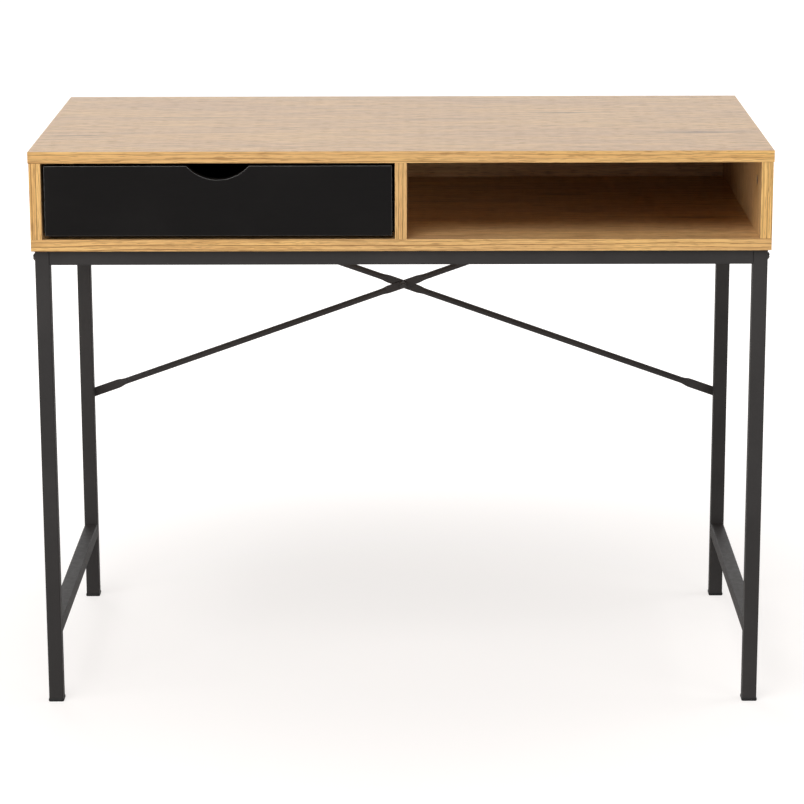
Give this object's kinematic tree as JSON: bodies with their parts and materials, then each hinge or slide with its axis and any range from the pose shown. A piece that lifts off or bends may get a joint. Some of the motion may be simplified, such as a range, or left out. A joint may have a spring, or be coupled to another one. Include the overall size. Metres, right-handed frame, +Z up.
{
  "type": "writing desk",
  "caption": "Oak-finish writing desk with an inset black drawer beside an open compartment, on a square-tube steel frame with a crossed rear brace.",
  "frame": {"origin": "on the floor under the middle of the desk top", "axes": "+X to the right of a person facing the desk, +Y towards its back, +Z up"},
  "size_m": [1, 0.5, 0.78],
  "materials": {
    "oak": "oak-decor laminate board, matt embossed grain, matching edge strips",
    "black_board": "black satin laminate board",
    "black_steel": "anthracite-black fine-texture powder coat",
    "black_fastener": "black-passivated steel fastener",
    "zinc": "die-cast zinc cam",
    "runner_steel": "black lacquered sheet steel",
    "black_plastic": "moulded glide",
    "roller_plastic": "dark grey nylon roller"
  },
  "bodies": {
    "desk": {"top_panel": "oak", "bottom_panel": "oak", "left_side_panel": "oak", "right_side_panel": "oak", "centre_partition": "oak", "back_panel": "oak", "left_side_cam_front": "zinc", "left_side_cam_rear": "zinc", "partition_cam_front": "zinc", "partition_cam_rear": "zinc", "right_side_cam_front": "zinc", "right_side_cam_rear": "zinc", "front_left_leg": "black_steel", "front_right_leg": "black_steel", "rear_left_leg": "black_steel", "rear_right_leg": "black_steel", "front_rail": "black_steel", "rear_rail": "black_steel", "left_top_rail": "black_steel", "right_top_rail": "black_steel", "left_stretcher": "black_steel", "right_stretcher": "black_steel", "front_left_foot": "black_plastic", "front_right_foot": "black_plastic", "rear_left_foot": "black_plastic", "rear_right_foot": "black_plastic", "inner_brace": "black_steel", "outer_brace": "black_steel", "front_left_rail_bolt": "black_fastener", "front_right_rail_bolt": "black_fastener", "rear_left_rail_bolt": "black_fastener", "rear_right_rail_bolt": "black_fastener", "brace_leg_bolt_left": "black_fastener", "brace_leg_bolt_right": "black_fastener", "brace_rail_bolt_left": "black_fastener", "brace_rail_bolt_right": "black_fastener", "crossing_bolt": "black_fastener", "crossing_nut": "black_fastener", "box_screw_front_left": "black_fastener", "box_screw_front_right": "black_fastener", "box_screw_rear_left": "black_fastener", "box_screw_rear_right": "black_fastener", "box_screw_side_left": "black_fastener", "box_screw_side_right": "black_fastener", "cabinet_runner_left": "runner_steel", "cabinet_runner_right": "runner_steel"},
    "drawer": {"drawer_front": "black_board", "drawer_left_side": "black_board", "drawer_right_side": "black_board", "drawer_back": "black_board", "drawer_base": "black_board", "drawer_runner_left": "runner_steel", "drawer_runner_right": "runner_steel"},
    "cabinet_roller_left": {"cabinet_roller_left": "roller_plastic"},
    "cabinet_roller_right": {"cabinet_roller_right": "roller_plastic"},
    "drawer_roller_left": {"drawer_roller_left": "roller_plastic"},
    "drawer_roller_right": {"drawer_roller_right": "roller_plastic"}
  },
  "joints": [
    {"name": "drawer_slide", "type": "slide", "parent": "desk", "child": "drawer", "axis": [0, -1, 0], "range_m": [0, 0.3]},
    {"name": "cabinet_roller_left_spin", "type": "hinge", "parent": "desk", "child": "cabinet_roller_left", "pos_m": [-0.4783, -0.216, 0.6732], "axis": [1, 0, 0], "continuous": true},
    {"name": "cabinet_roller_right_spin", "type": "hinge", "parent": "desk", "child": "cabinet_roller_right", "pos_m": [-0.0127, -0.216, 0.6732], "axis": [1, 0, 0], "continuous": true},
    {"name": "drawer_roller_left_spin", "type": "hinge", "parent": "drawer", "child": "drawer_roller_left", "pos_m": [-0.4773, 0.156, 0.6912], "axis": [1, 0, 0], "continuous": true},
    {"name": "drawer_roller_right_spin", "type": "hinge", "parent": "drawer", "child": "drawer_roller_right", "pos_m": [-0.0137, 0.156, 0.6912], "axis": [1, 0, 0], "continuous": true}
  ],
  "couplings": [
    {"joint": "cabinet_roller_left_spin", "follows": "drawer_slide", "rad_per_m": 100},
    {"joint": "cabinet_roller_right_spin", "follows": "drawer_slide", "rad_per_m": 100},
    {"joint": "drawer_roller_left_spin", "follows": "drawer_slide", "rad_per_m": 100},
    {"joint": "drawer_roller_right_spin", "follows": "drawer_slide", "rad_per_m": 100}
  ]
}
